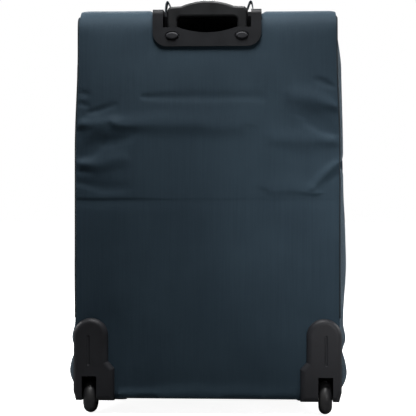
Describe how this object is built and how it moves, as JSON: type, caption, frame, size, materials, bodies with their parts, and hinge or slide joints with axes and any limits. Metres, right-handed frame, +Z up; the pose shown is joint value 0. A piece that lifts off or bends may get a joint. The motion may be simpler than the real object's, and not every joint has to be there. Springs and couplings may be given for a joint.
{
  "type": "softside upright suitcase",
  "caption": "Upright fabric suitcase with a zipped lid, flat front pockets, inline wheels and a pull-out trolley handle.",
  "frame": {"origin": "on the ground under the centre of the case's footprint", "axes": "+Z up; the lid and its pockets face -Y; the trolley and wheels are at +Y; +X is the zip side"},
  "size_m": [0.524, 0.326, 0.797],
  "materials": {
    "shell_fabric": "matte woven",
    "piping": "satin cord",
    "webbing": "ribbed webbing",
    "lining": "plain woven",
    "zip_tape": "matte woven",
    "black_plastic": "fine textured",
    "grip_plastic": "satin",
    "button_plastic": "satin",
    "board": "plain",
    "tube_aluminium": "anodised satin",
    "steel": "satin",
    "zip_metal": "gloss",
    "tyre": "matte"
  },
  "bodies": {
    "case": {"rear_panel": "shell_fabric", "top_panel": "shell_fabric", "side_panel_right": "shell_fabric", "side_panel_left": "shell_fabric", "bottom_panel": "shell_fabric", "side_piping": "piping", "back_board": "board", "base_tray": "board", "wire_hoop": "steel", "case_lining": "lining", "case_zip": "zip_tape", "bezel": "black_plastic", "bezel_caps": "black_plastic", "outer_tubes": "tube_aluminium", "tube_collars": "black_plastic", "trolley_foot": "black_plastic", "wheel_housing_right": "black_plastic", "wheel_housing_left": "black_plastic", "wheel_axles": "steel", "axle_washers": "steel", "front_feet": "black_plastic", "case_screws": "steel", "handle_anchors": "webbing", "packing_straps": "webbing", "packing_buckle_socket": "black_plastic"},
    "lid": {"lid_panel": "shell_fabric", "lid_piping": "piping", "lid_lining": "lining", "lid_zip": "zip_tape", "upper_pocket": "shell_fabric", "lower_pocket": "shell_fabric", "pocket_zips": "zip_tape"},
    "trolley": {"inner_tubes": "tube_aluminium", "pin_blocks": "black_plastic", "grip_rear_shell": "grip_plastic", "grip_front_shell": "grip_plastic", "grip_screws": "steel", "button_spring": "steel"},
    "release": {"release_button": "button_plastic", "push_rods": "steel"},
    "pin_right": {"lock_pin_right": "steel"},
    "pin_left": {"lock_pin_left": "steel"},
    "wheel_right": {"tyre_right": "tyre", "hub_right": "black_plastic", "bearings_right": "steel"},
    "wheel_left": {"tyre_left": "tyre", "hub_left": "black_plastic", "bearings_left": "steel"},
    "carry_handle_top": {"top_handle": "webbing"},
    "carry_handle_right": {"side_handle_right": "webbing"},
    "carry_handle_left": {"side_handle_left": "webbing"},
    "buckle_plug": {"packing_buckle_plug": "black_plastic"},
    "zip_slider_upper": {"main_slider_upper": "zip_metal"},
    "zip_pull_upper": {"main_pull_upper": "zip_metal"},
    "zip_slider_lower": {"main_slider_lower": "zip_metal"},
    "zip_pull_lower": {"main_pull_lower": "zip_metal"},
    "upper_pocket_zip": {"upper_pocket_slider": "zip_metal"},
    "upper_pocket_tab": {"upper_pocket_pull": "zip_metal"},
    "lower_pocket_zip": {"lower_pocket_slider": "zip_metal"},
    "lower_pocket_tab": {"lower_pocket_pull": "zip_metal"}
  },
  "joints": [
    {"name": "lid_hinge", "type": "hinge", "parent": "case", "child": "lid", "pos_m": [-0.251, -0.08, 0.394], "axis": [0, 0, -1], "range_deg": [0, 150]},
    {"name": "trolley_slide", "type": "slide", "parent": "case", "child": "trolley", "axis": [0, 0, 1], "range_m": [0, 0.33]},
    {"name": "release_press", "type": "slide", "parent": "trolley", "child": "release", "axis": [0, 0, 1], "range_m": [0, 0.004], "deforming": ["button_spring"]},
    {"name": "pin_right_slide", "type": "slide", "parent": "trolley", "child": "pin_right", "axis": [1, 0, 0], "range_m": [0, 0.0024]},
    {"name": "pin_left_slide", "type": "slide", "parent": "trolley", "child": "pin_left", "axis": [-1, 0, 0], "range_m": [0, 0.0024]},
    {"name": "wheel_right_spin", "type": "hinge", "parent": "case", "child": "wheel_right", "pos_m": [0.2235, 0.132, 0.031], "axis": [1, 0, 0], "continuous": true},
    {"name": "wheel_left_spin", "type": "hinge", "parent": "case", "child": "wheel_left", "pos_m": [-0.2235, 0.132, 0.031], "axis": [1, 0, 0], "continuous": true},
    {"name": "top_handle_lift", "type": "slide", "parent": "case", "child": "carry_handle_top", "axis": [0, 0, 1], "range_m": [0, 0.03]},
    {"name": "right_handle_pull_out", "type": "slide", "parent": "case", "child": "carry_handle_right", "axis": [1, 0, 0], "range_m": [0, 0.03]},
    {"name": "left_handle_pull_out", "type": "slide", "parent": "case", "child": "carry_handle_left", "axis": [-1, 0, 0], "range_m": [0, 0.03]},
    {"name": "buckle_unplug", "type": "slide", "parent": "case", "child": "buckle_plug", "axis": [1, 0, 0], "range_m": [0, 0.03]},
    {"name": "zip_slider_upper_run", "type": "slide", "parent": "case", "child": "zip_slider_upper", "axis": [0, 0, 1], "range_m": [0, 0.25]},
    {"name": "zip_pull_upper_swing", "type": "hinge", "parent": "zip_slider_upper", "child": "zip_pull_upper", "pos_m": [0.2525, -0.08, 0.455], "axis": [0, -1, 0], "range_deg": [0, 160]},
    {"name": "zip_slider_lower_run", "type": "slide", "parent": "case", "child": "zip_slider_lower", "axis": [0, 0, -1], "range_m": [0, 0.3]},
    {"name": "zip_pull_lower_swing", "type": "hinge", "parent": "zip_slider_lower", "child": "zip_pull_lower", "pos_m": [0.2525, -0.08, 0.4], "axis": [0, -1, 0], "range_deg": [0, 160]},
    {"name": "upper_pocket_zip_run", "type": "slide", "parent": "lid", "child": "upper_pocket_zip", "axis": [-1, 0, 0], "range_m": [0, 0.33]},
    {"name": "upper_pocket_tab_swing", "type": "hinge", "parent": "upper_pocket_zip", "child": "upper_pocket_tab", "pos_m": [0.165, -0.155, 0.688], "axis": [0, 0, 1], "range_deg": [0, 160]},
    {"name": "lower_pocket_zip_run", "type": "slide", "parent": "lid", "child": "lower_pocket_zip", "axis": [-1, 0, 0], "range_m": [0, 0.33]},
    {"name": "lower_pocket_tab_swing", "type": "hinge", "parent": "lower_pocket_zip", "child": "lower_pocket_tab", "pos_m": [0.165, -0.1606, 0.421], "axis": [0, 0, 1], "range_deg": [0, 160]}
  ],
  "couplings": [
    {"joint": "pin_right_slide", "follows": "release_press", "ratio": 0.6},
    {"joint": "pin_left_slide", "follows": "release_press", "ratio": 0.6}
  ]
}
